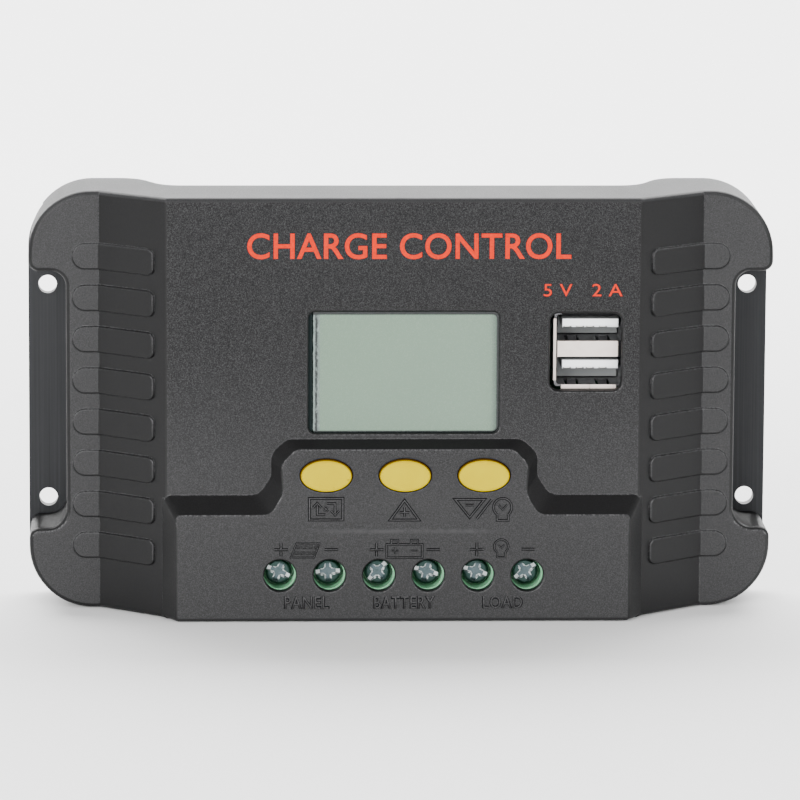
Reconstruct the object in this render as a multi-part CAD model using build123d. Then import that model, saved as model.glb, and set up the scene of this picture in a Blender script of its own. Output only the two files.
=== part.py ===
from build123d import *
import math
import os

# Solar charge controller for wall mounting: a moulded front shell on a finned heat sink,
# with six screw terminals, twin USB ports, a display and three buttons.
# Frame: +X right, +Z up, the front faces -Y, the wall plane is y = 0. The origin is the
# centre of the four-hole mounting pattern, on the wall plane. Units: mm.
# A depth is a distance in front of the wall plane (y = -depth).

# ---- case outline and section ----
HALF_WIDTH = 71.9                   # over the ears
CASE_Z0, CASE_Z1 = -39.9, 41.65     # bottom and top
CORNER_R = 12.2
WALL = 2.2

EAR_DEPTH = 19.4
PLATEAU_DEPTH = 29.8
TERRACE_DEPTH = 33.6
BEND_X = 58.3                       # the ear turns into the ramp
PLATEAU_X = 45.4                    # the ramp meets the plateau
RAMP_RISE, RAMP_RUN = PLATEAU_DEPTH - EAR_DEPTH, BEND_X - PLATEAU_X
RAMP_SLOPE = RAMP_RISE / RAMP_RUN
RAMP_LENGTH = math.hypot(RAMP_RUN, RAMP_RISE)
# unit normal of the ramp, as x and depth
NORMAL_X, NORMAL_DEPTH = RAMP_RISE / RAMP_LENGTH, RAMP_RUN / RAMP_LENGTH

# ---- fastener places (x, z) ----
CASE_SCREWS = [(side * 62.3, z) for side in (-1, 1) for z in (-32.2, 33.6)]
DISPLAY_SCREWS = [(x, z) for z in (21.5, -3.0) for x in (-23.0, 23.4)]
PCB_SCREWS = [(-37.2, 34.0), (36.6, 34.0), (-38.6, -22.0), (38.8, -22.0)]

# ---- depths of the two boards, rear and front face ----
PCB_REAR, PCB_FRONT = 14.0, 15.6
DISP_REAR, DISP_FRONT = 20.0, 21.2
SEAT_GAP = 0.02
PCB_SEAT = PCB_FRONT + SEAT_GAP     # where parts stand on the main board
DISP_SEAT = DISP_FRONT + SEAT_GAP   # and on the display board

# ---- heat sink ----
FLANGE_T = 2.65
SINK_HALF_WIDTH = 72.25
SINK_Z0, SINK_Z1 = -38.3, 39.7
SINK_CORNER_R = 11.0
WEB_REAR, WEB_FRONT = 8.0, 11.0
STEP_X_IN, STEP_X_OUT = 41.0, 49.4  # sloped step from web to flange
STEP_SHIFT = 3.2                    # rear of the step lies this much further in
FIN_T, FIN_PITCH, FIN_COUNT = 1.8, 8.0, 10
FIN_TIP_DEPTH = 0.6
HOLE_X, HOLE_Z, HOLE_R = 68.5, 21.1, 1.8    # wall mounting holes

# ---- windows: x0, x1, z0, z1 ----
LCD_WINDOW, LCD_WINDOW_R = (-18.2, 18.4, -3.85, 19.7), 1.3
USB_WINDOW, USB_WINDOW_R = (28.1, 41.85, 4.42, 19.42), 1.7

# ---- buttons ----
BUTTONS = {name: 0.35 + 15.12 * i for i, name in ((-1, "left"), (0, "middle"), (1, "right"))}
BUTTON_Z = -11.5
BUTTON_A, BUTTON_B = 4.97, 3.12     # half axes of the cap
BUTTON_GAP = 0.2

# ---- terminals ----
TERM_PITCH = 9.5
TERM_X = [-0.08 + (i - 2.5) * TERM_PITCH for i in range(6)]
TERM_Z = -30.9
DRIVER_HOLE_R = 3.1
DRIVER_HOLE_DX = 0.2                # the holes sit slightly right of the screws
SHANK_R = 1.45
HEAD_R, HEAD_H, HEAD_FRONT = 2.5, 2.6, 29.4
BAR_REAR, BAR_FRONT = 20.95, 21.95  # current bar
LEG_Z0, LEG_Z1 = -27.8, -26.6       # leg of the current bar
CAGE_W, CAGE_H = 6.2, 6.0

# ---- connectors between and on the boards ----
USB_X = 35.75
USB_LEGS = [(USB_X + dx, z) for dx in (-3.5, -1.0, 1.0, 3.5) for z in (8.0, 11.0)]
HEADER_PITCH = 2.54
HEADER_X = [0.6 + HEADER_PITCH * (i - 3.5) for i in range(8)]
HEADER_Z = 23.1
LCD_PIN_X = [-13.5 + 1.8 * i for i in range(16)]
LCD_PIN_Z = -6.9


# ======================================================== helpers
def save(shape, name):
    shape.label = name
    export_step(shape, f"parts/{name}.step")


def save_solid(shape, name):
    save(shape.solids()[0], name)


def save_group(items, name):
    save(Compound(children=list(items)), name)


def xz(depth):
    """Sketch plane at a depth: local x = X, local y = Z, extrudes towards the front."""
    return Plane.XZ.offset(depth)


def block(x0, x1, d0, d1, z0, z1):
    """Box by x range, depth range and z range."""
    size = Box(abs(x1 - x0), abs(d1 - d0), abs(z1 - z0))
    return Pos((x0 + x1) / 2, -(d0 + d1) / 2, (z0 + z1) / 2) * size


def post(x, z, width, height, d0, d1):
    """Box centred on (x, z) between two depths."""
    return block(x - width / 2, x + width / 2, d0, d1, z - height / 2, z + height / 2)


def rounded(x0, x1, z0, z1, radius, d0, d1):
    """Box between two depths whose corners are round in front view."""
    outline = Pos((x0 + x1) / 2, (z0 + z1) / 2) * RectangleRounded(x1 - x0, z1 - z0, radius)
    return extrude(xz(d0) * outline, amount=d1 - d0)


def rod(x, z, radius, d0, d1):
    """Round bar along Y between two depths."""
    return extrude(xz(d0) * Pos(x, z) * Circle(radius), amount=d1 - d0)


def taper(x, z, rear_radius, front_radius, d0, d1):
    """Cone along Y between two depths."""
    cone = Pos(0, 0, (d0 + d1) / 2) * Cone(rear_radius, front_radius, d1 - d0)
    return Pos(x, 0, z) * Rot(90, 0, 0) * cone


def oval(x, grow, d0, d1):
    """Button ellipse at x, enlarged by grow, between two depths."""
    ellipse = Ellipse(BUTTON_A + grow, BUTTON_B + grow)
    return extrude(xz(d0) * Pos(x, BUTTON_Z) * ellipse, amount=d1 - d0)


def forward(face, amount):
    """Extrude a face on an xz plane towards the front."""
    face = face.faces()[0]
    if face.normal_at().Y > 0:
        face = -face
    return extrude(face, amount=amount)


def upward(face, z0, z1):
    """Extrude a face drawn on the XY plane from z0 to z1."""
    face = (Plane.XY.offset(z0) * face).faces()[0]
    if face.normal_at().Z < 0:
        face = -face
    return extrude(face, amount=z1 - z0)


def plan(points, z0, z1):
    """Extrude a plan outline given as (x, depth) points from z0 to z1."""
    return upward(make_face(Polyline([(x, -d) for x, d in points], close=True)), z0, z1)


def side_profile(points, x0, length):
    """Extrude an outline given as (depth, z) points from x0 to the right."""
    face = make_face(Polyline([(x0, -d, z) for d, z in points], close=True))
    return extrude(face, amount=length, dir=(1, 0, 0))


def mirror_x(points):
    return points + [(-x, d) for x, d in reversed(points)]


def vertices_at(face, point):
    return [v for v in face.vertices()
            if abs(v.X - point[0]) < 1e-4 and abs(v.Y - point[1]) < 1e-4]


def mid_depth(edge):
    return -(edge @ 0.5).Y


def is_long_upright(edge):
    return edge.geom_type == GeomType.LINE and abs((edge @ 0).Z - (edge @ 1).Z) > 60


def soften(shape, edges, radii):
    """Fillet the edges with the first radius that works, or leave the shape sharp."""
    for radius in radii:
        # guards against a radius that the kernel can't build on these edges
        try:
            result = fillet(edges, radius)
            if result.is_valid:
                return result
        except Exception:
            pass
    return shape


def soften_at(shape, depth, radii):
    """Fillet all edges that lie at a depth."""
    return soften(shape, [e for e in shape.edges() if abs(mid_depth(e) - depth) < 0.01], radii)


def cut_cross(shape, x, z, depth, size, turn=0):
    """Cut a cross centred at a depth; size is length, depth and width of an arm."""
    for angle in (0, 90):
        shape -= Pos(x, -depth, z) * Rot(0, turn + angle, 0) * Box(*size)
    return shape


# ======================================================== front shell
NOTCH_X = 64.7                      # inner wall of the mounting notch
NOTCH_Z0, NOTCH_Z1 = -24.3, 26.0
NOTCH_R_LOW, NOTCH_R_HIGH, NOTCH_R_OUT = 3.8, 2.9, 2.0

# terrace and tongue; 0 is at the plateau, 1 at the terrace face
TERRACE_X0, TERRACE_X1 = 45.8, 43.5     # half width
SHOULDER_Z0, SHOULDER_Z1 = -15.8, -19.4
TONGUE_X = 0.3
TONGUE_W0, TONGUE_W1 = 25.6, 23.0       # half width
TONGUE_Z0, TONGUE_Z1 = -4.9, -6.8       # top
TERRACE_LOW = CASE_Z0 - 3               # lower end before it is trimmed
TILT_Z = -23.0                      # the button field tilts back above this height
TILT_DROP = 1.2                     # and drops this much at the tongue top

RIB_COUNT, RIB_PITCH, RIB_Z0 = 8, 8.07, -27.45
RIB_H, RIB_X_OUT, RIB_X_IN = 5.1, 63.5, 47.7
RIB_ON_EAR, RIB_ON_RAMP = 0.32, 0.55    # height above the ear and the ramp
RIB_REACH = 13                      # run of the rib section inwards from the bend

RIM_DEPTH = 11.05                   # depth of the rear rim in the middle
RIM_X_IN, RIM_X_OUT = 42.0, 55.0    # start and end of the rim's S-curve


def mounting_notch():
    """Cutter for the left notch, open to the side."""
    points = [(-NOTCH_X, NOTCH_Z0), (-NOTCH_X, NOTCH_Z1), (-HALF_WIDTH, NOTCH_Z1),
              (-HALF_WIDTH, 60), (-85, 60), (-85, -60), (-HALF_WIDTH, -60),
              (-HALF_WIDTH, NOTCH_Z0)]
    face = make_face(Polyline(points, close=True))
    face = fillet(vertices_at(face, points[0]), NOTCH_R_LOW)
    face = fillet(vertices_at(face, points[1]), NOTCH_R_HIGH)
    face = fillet(vertices_at(face, points[2]) + vertices_at(face, points[7]), NOTCH_R_OUT)
    return forward(xz(-2) * face, 45)


def outer_body():
    """Ears, ramps and plateau as a full block, with the crests and the front rim rounded."""
    section = mirror_x([(HALF_WIDTH + 2, 0), (HALF_WIDTH + 2, EAR_DEPTH),
                        (BEND_X, EAR_DEPTH), (PLATEAU_X, PLATEAU_DEPTH)])
    body = plan(section, CASE_Z0 - 2, CASE_Z1 + 2)
    body = body & rounded(-HALF_WIDTH, HALF_WIDTH, CASE_Z0, CASE_Z1, CORNER_R, -1, 59)
    notch = mounting_notch()
    body -= notch
    body -= mirror(notch, about=Plane.YZ)
    crests = [e for e in body.edges() if is_long_upright(e)
              and abs(abs((e @ 0.5).X) - PLATEAU_X) < 0.05]
    body = soften(body, crests, (1.2, 0.8))
    rim = [e for e in body.edges() if mid_depth(e) > EAR_DEPTH - 0.6
           and not (is_long_upright(e) and abs((e @ 0.5).X) < BEND_X + 1)]
    return soften(body, rim, (1.0, 0.8, 0.6, 0.4))


def terrace_outline(depth, half_width, shoulder_z, tongue_half, tongue_top, tip_radius):
    """Planform of the terrace with its tongue, at a depth."""
    left, right = TONGUE_X - tongue_half, TONGUE_X + tongue_half
    points = [(-half_width, TERRACE_LOW), (-half_width, shoulder_z),
              (left - 2.4, shoulder_z), (left, shoulder_z + 3.6),
              (left, tongue_top - 2.8), (left + 3.0, tongue_top),
              (right - 3.0, tongue_top), (right, tongue_top - 2.8),
              (right, shoulder_z + 3.6), (right + 2.4, shoulder_z),
              (half_width, shoulder_z), (half_width, TERRACE_LOW)]
    face = make_face(Polyline(points, close=True))
    # left corner, right corner, radius
    for a, b, radius in ((1, 10, 1.2), (2, 9, 3.0), (3, 8, 3.0),
                         (4, 7, tip_radius), (5, 6, tip_radius)):
        face = fillet(vertices_at(face, points[a]) + vertices_at(face, points[b]), radius)
    return xz(depth) * face


def terrace():
    """Terminal terrace with the tongue that carries the buttons."""
    base = terrace_outline(PLATEAU_DEPTH, TERRACE_X0, SHOULDER_Z0, TONGUE_W0, TONGUE_Z0, 3.0)
    top = terrace_outline(TERRACE_DEPTH, TERRACE_X1, SHOULDER_Z1, TONGUE_W1,
                          TONGUE_Z1 - 0.4, 2.6)
    solid = loft([base, top], ruled=True)
    slant = TILT_DROP / (TONGUE_Z1 - TILT_Z)
    solid = solid - side_profile([
        (TERRACE_DEPTH, TILT_Z), (TERRACE_DEPTH - slant * 30, TILT_Z + 30),
        (TERRACE_DEPTH + 5, TILT_Z + 30), (TERRACE_DEPTH + 5, TILT_Z)], -60, 120)
    # round the front edges, but not the crease where the tilt starts
    top_edges = [e for e in solid.edges()
                 if mid_depth(e) > TERRACE_DEPTH - 2.2 and (e @ 0.5).Z > TERRACE_LOW + 1
                 and not (abs((e @ 0).Z - TILT_Z) < 0.02 and abs((e @ 1).Z - TILT_Z) < 0.02)]
    solid = soften(solid, top_edges, (0.7, 0.5, 0.35))
    solid = solid & plan([(-HALF_WIDTH, 0), (-HALF_WIDTH, 60), (HALF_WIDTH, 60),
                          (HALF_WIDTH, 0)], CASE_Z0, CASE_Z1)
    bottom = [e for e in solid.edges() if abs((e @ 0.5).Z - CASE_Z0) < 0.01
              and mid_depth(e) > TERRACE_DEPTH - 0.01]
    return soften(solid, bottom, (0.9, 0.6, 0.4))


def terrace_skirt():
    """Carries the side walls of the terrace down to the ramps."""
    section = mirror_x([(46.6, PLATEAU_DEPTH - 1.4), (46.25, PLATEAU_DEPTH - 0.75),
                        (TERRACE_X0, PLATEAU_DEPTH)])
    skirt = plan(section, CASE_Z0, SHOULDER_Z0 - 0.5)
    bottom = [e for e in skirt.edges() if abs((e @ 0.5).Z - CASE_Z0) < 0.01
              and abs((e @ 0.5).X) > 45 and mid_depth(e) > 28.6]
    return soften(skirt, bottom, (0.5,))


def is_rib_top_edge(edge):
    x, depth = abs((edge @ 0.5).X), mid_depth(edge)
    on_ear = x > BEND_X and abs(depth - EAR_DEPTH - RIB_ON_EAR) < 0.02
    above_ramp = depth - EAR_DEPTH - (BEND_X - x) * RAMP_SLOPE
    return on_ear or (x < BEND_X - 0.2 and above_ramp > RIB_ON_RAMP * 0.6)


def rib(z):
    """Left rib: a low pad across the bend, round at the outer end."""
    x_end, ramp_end = BEND_X - RIB_REACH, EAR_DEPTH + RAMP_SLOPE * RIB_REACH
    section = [(BEND_X + 8, EAR_DEPTH - 1), (BEND_X + 8, EAR_DEPTH + RIB_ON_EAR),
               (BEND_X + 0.2, EAR_DEPTH + RIB_ON_EAR),
               (x_end + NORMAL_X * RIB_ON_RAMP, ramp_end + NORMAL_DEPTH * RIB_ON_RAMP),
               (x_end - NORMAL_X, ramp_end - NORMAL_DEPTH), (BEND_X - 0.5, EAR_DEPTH - 1)]
    strip = plan([(-x, d) for x, d in section], z - 4, z + 4)
    half = RIB_H / 2
    face = make_face(Polyline([(-RIB_X_IN, z - half), (-RIB_X_OUT, z - half),
                               (-RIB_X_OUT, z + half), (-RIB_X_IN, z + half)], close=True))
    for x, radius in ((RIB_X_OUT, half - 0.05), (RIB_X_IN, 1.3)):
        face = fillet([v for v in face.vertices() if abs(abs(v.X) - x) < 0.01], radius)
    pad = forward(xz(EAR_DEPTH - 2) * face, 16) & strip
    return soften(pad, [e for e in pad.edges() if is_rib_top_edge(e)], (0.3, 0.2))


def cavity():
    """Inside of the shell, one wall thickness behind the faces."""
    bend_x, bend_depth = BEND_X - NORMAL_X * WALL, EAR_DEPTH - NORMAL_DEPTH * WALL
    ear_x = bend_x - ((EAR_DEPTH - WALL) - bend_depth) / RAMP_SLOPE
    plateau_x = bend_x - ((PLATEAU_DEPTH - WALL) - bend_depth) / RAMP_SLOPE
    section = mirror_x([(HALF_WIDTH, -2), (HALF_WIDTH, EAR_DEPTH - WALL),
                        (ear_x, EAR_DEPTH - WALL), (plateau_x, PLATEAU_DEPTH - WALL)])
    x_wall = HALF_WIDTH - WALL
    inner = plan(section, CASE_Z0, CASE_Z1) & rounded(
        -x_wall, x_wall, CASE_Z0 + WALL, CASE_Z1 - WALL, CORNER_R - WALL, -2, 58)
    # leave walls around the notches
    for x0, x1 in ((NOTCH_X - WALL, 90), (-90, -(NOTCH_X - WALL))):
        inner -= block(x0, x1, -3, 40, NOTCH_Z0 - WALL, NOTCH_Z1 + WALL)
    # hollows of the terrace and of the tongue
    inner += block(-TERRACE_X1 + 2.0, TERRACE_X1 - 2.0, 20, TERRACE_DEPTH - WALL,
                   CASE_Z0 + WALL, SHOULDER_Z1 - 2.2)
    inner += block(TONGUE_X - TONGUE_W1 + 2.0, TONGUE_X + TONGUE_W1 - 2.0, 20, 30.0,
                   -26, TONGUE_Z0 - 2.3)
    # pocket that thins the bezel behind the display window
    inner += block(-20.6, 21.2, 20, PLATEAU_DEPTH - 1.0, -6.0, 22.0)
    return inner


def rear_rim():
    """Cutter for the rear rim: high in the middle, down to the wall at the ears."""
    out, in_, tangents = RIM_X_OUT, RIM_X_IN, [(-1, 0), (-1, 0)]
    right = Spline([(out, 0), (in_, -RIM_DEPTH)], tangents=tangents)
    left = Spline([(-in_, -RIM_DEPTH), (-out, 0)], tangents=tangents)
    face = make_face([Line((-out, 1), (out, 1)), Line((out, 1), (out, 0)), right,
                      Line((in_, -RIM_DEPTH), (-in_, -RIM_DEPTH)), left,
                      Line((-out, 0), (-out, 1))])
    return upward(face, -60, 60)


def cut_openings(shell):
    """Windows, button holes, screwdriver holes, wire entries and screw pilots."""
    shell -= rounded(*LCD_WINDOW, LCD_WINDOW_R, 20, 40)
    shell -= rounded(*USB_WINDOW, USB_WINDOW_R, 20, 40)
    for x in BUTTONS.values():
        shell -= oval(x, BUTTON_GAP, 25, 45)
    for x in TERM_X:
        shell -= rod(x + DRIVER_HOLE_DX, TERM_Z, DRIVER_HOLE_R, 25, 45)
        shell -= block(x - 3.0, x + 3.0, 16.6, 22.4, CASE_Z0 - 2, CASE_Z0 + WALL + 0.5)
    for x, z in CASE_SCREWS:
        shell -= rod(x, z, 1.3, -1, 13)
    for x, z in DISPLAY_SCREWS:
        shell -= rod(x, z, 0.95, 15, 27.4)
    return shell


def soften_window(shell, window, radii):
    x0, x1, z0, z1 = window
    edges = [e for e in shell.edges() if abs(mid_depth(e) - PLATEAU_DEPTH) < 0.01
             and x0 - 0.01 < (e @ 0.5).X < x1 + 0.01 and z0 - 0.01 < (e @ 0.5).Z < z1 + 0.01]
    return soften(shell, edges, radii)


def front_shell():
    body = outer_body()
    body = body + terrace() + terrace_skirt()
    for i in range(RIB_COUNT):
        pad = rib(RIB_Z0 + RIB_PITCH * i)
        body = body + pad
        body = body + mirror(pad, about=Plane.YZ)
    shell = body - cavity()
    # bosses
    for x, z in CASE_SCREWS:
        shell += rod(x, z, 3.4, FLANGE_T + 0.1, EAR_DEPTH - 1.0)
    for x, z in DISPLAY_SCREWS:
        shell += rod(x, z, 2.2, DISP_FRONT + 0.05, PLATEAU_DEPTH - 1.2)
    shell -= rear_rim()
    # seat for the heat sink flanges
    shell -= rounded(-HALF_WIDTH - 2, HALF_WIDTH + 2, SINK_Z0 - 0.1, SINK_Z1 + 0.1,
                     SINK_CORNER_R + 1.6, -1, FLANGE_T + 0.05)
    shell = cut_openings(shell)
    # keep the main solid, without loose remnants
    shell = sorted(shell.solids(), key=lambda solid: -solid.volume)[0]
    shell = soften_window(shell, LCD_WINDOW, (0.4, 0.25))
    shell = soften_window(shell, USB_WINDOW, (0.5, 0.3))
    driver_mouths = [e for e in shell.edges() if abs(mid_depth(e) - TERRACE_DEPTH) < 0.01
                     and e.geom_type == GeomType.CIRCLE
                     and abs((e @ 0).Z - TERM_Z) < DRIVER_HOLE_R + 0.1
                     and abs(e.radius - DRIVER_HOLE_R) < 0.01]
    return soften(shell, driver_mouths, (0.35, 0.2))


# ======================================================== heat sink and case screws
def heat_sink():
    sink = plan(mirror_x([(SINK_HALF_WIDTH, 0), (SINK_HALF_WIDTH, FLANGE_T),
                          (STEP_X_OUT, FLANGE_T), (STEP_X_IN, WEB_FRONT)]), SINK_Z0, SINK_Z1)
    rear_x = STEP_X_OUT - STEP_SHIFT
    sink -= plan(mirror_x([(rear_x, -1), (rear_x, 0), (STEP_X_IN - STEP_SHIFT, WEB_REAR)]),
                 SINK_Z0 - 1, SINK_Z1 + 1)
    root, tip = FIN_T / 2 + 0.15, FIN_T / 2 - 0.2     # half thicknesses
    for i in range(FIN_COUNT):
        x = (i - (FIN_COUNT - 1) / 2) * FIN_PITCH
        sink += plan([(x - root, WEB_REAR + 0.5), (x + root, WEB_REAR + 0.5),
                      (x + tip, FIN_TIP_DEPTH), (x - tip, FIN_TIP_DEPTH)], SINK_Z0, SINK_Z1)
    sink &= rounded(-SINK_HALF_WIDTH, SINK_HALF_WIDTH, SINK_Z0, SINK_Z1, SINK_CORNER_R, -1, 19)
    for x in (-HOLE_X, HOLE_X):
        for z in (-HOLE_Z, HOLE_Z):
            sink -= rod(x, z, HOLE_R, -1, 5)
    for x, z in CASE_SCREWS:
        sink -= rod(x, z, 1.6, -1, 5)
        sink -= taper(x, z, 3.1, 1.6, 0, 1.6)
    for x, z in PCB_SCREWS:
        sink -= rod(x, z, 1.5, 5, 13)
    return sink


def case_screw(x, z):
    """Countersunk self-tapping screw entering from the wall side."""
    screw = rod(x, z, 1.25, 0.1, 11.5) + taper(x, z, 2.95, 1.4, 0.1, 1.6)
    return cut_cross(screw, x, z, 0.4, (3.0, 1.2, 0.7)).solids()[0]


# ======================================================== main board and its fixings
def main_pcb():
    pcb = block(-51.0, 51.0, PCB_REAR, PCB_FRONT, -37.4, 38.4)
    pcb = fillet(pcb.edges().filter_by(Axis.Y), 2.0)
    for x, z in PCB_SCREWS:
        pcb -= rod(x, z, 1.6, 10, 20)
    for x in TERM_X:
        pcb -= block(x - 1.3, x + 1.3, 10, 20, LEG_Z0 - 0.1, LEG_Z1 + 0.1)
    for x, z in USB_LEGS + [(x, HEADER_Z) for x in HEADER_X]:
        pcb -= rod(x, z, 0.5, 10, 20)
    return pcb


def pcb_spacer(x, z):
    hole = rod(x, z, 1.55, WEB_FRONT - 1, PCB_REAR + 1)
    return (rod(x, z, 2.6, WEB_FRONT, PCB_REAR) - hole).solids()[0]


def pcb_screw(x, z):
    head_front = PCB_FRONT + 1.9
    screw = rod(x, z, 1.42, WEB_REAR + 0.4, PCB_FRONT) + rod(x, z, 2.8, PCB_FRONT, head_front)
    screw = soften_at(screw, head_front, (0.8, 0.5))
    return cut_cross(screw, x, z, PCB_FRONT + 1.6, (3.2, 1.4, 0.7)).solids()[0]


# power transistors behind the board, pressed on the heat sink through a pad
MOSFET_X = [16.0 * (i - 1.5) for i in range(4)]
MOSFET_Z = -6.0
MOSFET_REAR = PCB_REAR - 2.3


def mosfet(x):
    front, lead_rear = PCB_REAR - SEAT_GAP, PCB_REAR - 0.6
    part = post(x, MOSFET_Z, 6.6, 6.0, MOSFET_REAR, front)
    part += block(x - 2.7, x + 2.7, lead_rear, front, MOSFET_Z + 2.9, MOSFET_Z + 4.2)
    for lead_x in (x - 2.28, x + 2.28):
        part += block(lead_x - 0.4, lead_x + 0.4, lead_rear, front,
                      MOSFET_Z - 5.4, MOSFET_Z - 2.9)
    return part.solids()[0]


# ======================================================== terminal block
HOUSING_Z0, HOUSING_Z1 = -37.6, -24.6
HOUSING_FRONT = 31.0
LEDGE_REAR, LEDGE_FRONT = 26.4, 26.8        # ledge under the screw heads
CAGE_FRONT_WALL, CAGE_REAR_WALL, CAGE_OPENING = 1.0, 0.9, 5.35
CAGE_CLOSED, CAGE_TRAVEL = 26.3, 3.3
CAGE_FRONT = CAGE_CLOSED - CAGE_TRAVEL      # drawn in the open position
CAGE_REAR = CAGE_FRONT - CAGE_FRONT_WALL - CAGE_OPENING - CAGE_REAR_WALL
SLOT_DEG = (-23.0, 3.0, 46.0, -16.0, -17.0, 35.0)   # turn of each screw slot


def terminal_housing():
    side = TERM_PITCH / 2 + 1.0
    housing = block(TERM_X[0] - side, TERM_X[-1] + side, PCB_SEAT, HOUSING_FRONT,
                    HOUSING_Z0, HOUSING_Z1)
    housing = soften(housing, housing.edges().filter_by(Axis.Z), (0.5,))
    for x in TERM_X:
        housing -= rod(x, TERM_Z, HEAD_R + 0.48, LEDGE_FRONT, 40)
        housing -= rod(x, TERM_Z, SHANK_R + 0.25, 20, 40)
        housing -= post(x, TERM_Z, CAGE_W + 0.2, CAGE_H + 0.2, PCB_FRONT - 1, LEDGE_REAR)
        # wire entry from below
        housing -= block(x - 2.7, x + 2.7, 16.4, 22.2, HOUSING_Z0 - 1, TERM_Z)
        # slot for the current bar and its leg
        housing -= block(x - 2.0, x + 2.0, PCB_FRONT - 1, BAR_FRONT + 0.2,
                         TERM_Z + 2.9, LEG_Z1 + 0.3)
    # grooves across the front between the terminals
    for x in TERM_X[:-1]:
        groove_x = x + TERM_PITCH / 2
        housing -= block(groove_x - 0.5, groove_x + 0.5, HOUSING_FRONT - 0.8,
                         HOUSING_FRONT + 1, HOUSING_Z0 - 1, HOUSING_Z1 + 1)
    return housing


def terminal_pin(x):
    pin = block(x - 1.8, x + 1.8, BAR_REAR, BAR_FRONT, -35.0, LEG_Z1)
    pin += block(x - 1.2, x + 1.2, PCB_REAR - 0.9, BAR_FRONT, LEG_Z0, LEG_Z1)
    return pin.solids()[0]


def terminal_screw(x, turn):
    head_rear = HEAD_FRONT - HEAD_H
    head = soften_at(rod(x, TERM_Z, HEAD_R, head_rear, HEAD_FRONT), HEAD_FRONT, (0.6, 0.4))
    screw = head + rod(x, TERM_Z, SHANK_R, BAR_FRONT + 0.1, head_rear + 0.01)
    # shallow slot across the head and a wide cross recess on the same axes
    screw -= Pos(x, -HEAD_FRONT, TERM_Z) * Rot(0, -turn, 0) * Box(6.0, 1.5, 0.95)
    screw = cut_cross(screw, x, TERM_Z, HEAD_FRONT, (3.75, 2.0, 1.05), -turn)
    screw -= rod(x, TERM_Z, 1.15, HEAD_FRONT - 1.0, HEAD_FRONT + 1)
    return screw


def clamp_cage(x):
    cage = post(x, TERM_Z, CAGE_W, CAGE_H, CAGE_REAR, CAGE_FRONT)
    cage = soften(cage, cage.edges().filter_by(Axis.Z), (0.5,))
    cage -= post(x, TERM_Z, CAGE_W - 1.6, 10,
                 CAGE_REAR + CAGE_REAR_WALL, CAGE_FRONT - CAGE_FRONT_WALL)
    cage -= rod(x, TERM_Z, SHANK_R + 0.05, CAGE_FRONT - 2, CAGE_FRONT + 2)
    return cage


# ======================================================== twin usb stack
USB_FRONT = 27.5
PORT_X0, PORT_X1 = USB_X - 6.25, USB_X + 6.25
PORTS = ((5.25, 10.7), (13.72, 18.8))       # z range of each port
PORTS_Z0, PORTS_Z1 = PORTS[0][0], PORTS[1][1]
TONGUES = ((8.25, 10.0), (16.27, 18.02))    # z range of each contact tongue
CONTACT_X = (31.6, 34.05, 36.0, 38.45)


def usb_shell():
    shell = block(PORT_X0 - 0.4, PORT_X1 + 0.4, PCB_SEAT, USB_FRONT, 4.85, 19.2)
    shell = soften(shell, shell.edges().filter_by(Axis.Y), (0.6, 0.4))
    # flanges folded out at the front, open at the corners: x0, x1, z0, z1
    for x0, x1, z0, z1 in ((PORT_X0 - 0.6, PORT_X0 + 0.3, 6.1, 18.1),
                           (PORT_X1 - 0.3, PORT_X1 + 0.6, 6.1, 18.1),
                           (PORT_X0 + 0.95, PORT_X1 - 1.0, 4.5, 5.4),
                           (PORT_X0 + 0.95, PORT_X1 - 1.0, 18.6, 19.6)):
        shell += block(x0, x1, USB_FRONT - 0.4, USB_FRONT, z0, z1)
    for z0, z1 in ((3.0, 6.1), (18.1, 21.0)):
        for x0, x1 in ((PORT_X0 - 2, PORT_X0 + 0.95), (PORT_X1 - 1.0, PORT_X1 + 2)):
            shell -= block(x0, x1, USB_FRONT - 0.7, USB_FRONT + 1, z0, z1)
    # slit in the lower flange
    shell -= block(35.84, 36.0, USB_FRONT - 0.35, USB_FRONT + 1, 4.0, 5.24)
    # ports, the gap between them and the opening behind them
    for z0, z1 in PORTS:
        shell -= rounded(PORT_X0, PORT_X1, z0, z1, 0.5, 16.4, 36.4)
    shell -= block(PORT_X0, PORT_X1, 10, USB_FRONT - 0.4, PORTS[0][1] + 0.4, PORTS[1][0] - 0.4)
    shell -= block(PORT_X0, PORT_X1, 10, 16.6, PORTS_Z0, PORTS_Z1)
    # spring fingers in cut-outs of the port floors, and at the side walls
    for z0, _ in PORTS:
        for x in (32.6, 38.55):
            shell -= block(x - 1.35, x + 1.35, 20.2, 26.9, z0 - 0.5, z0 + 0.05)
            shell += side_profile([(20.1, z0), (24.3, z0 + 0.5), (25.6, z0 + 0.05),
                                   (26.3, z0 - 0.05), (26.3, z0 - 0.3), (20.1, z0 - 0.3)],
                                  x - 0.8, 1.6)
        shell -= block(PORT_X0 + 0.3, PORT_X1 - 0.3, 19.4, 19.6, z0 - 0.15, z0 + 0.05)
        for side, x in ((-1, PORT_X0), (1, PORT_X1)):
            shell += plan([(x, 20.0), (x - side * 0.45, 23.5), (x, 25.0),
                           (x + side * 0.2, 25.0), (x + side * 0.2, 20.0)], z0 + 1.7, z0 + 3.3)
    return shell


def port_plug(port, inset_x, inset_z, d0, d1):
    """Block that fills a port, less an inset on each side."""
    return block(PORT_X0 + inset_x, PORT_X1 - inset_x, d0, d1,
                 port[0] + inset_z, port[1] - inset_z)


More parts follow.
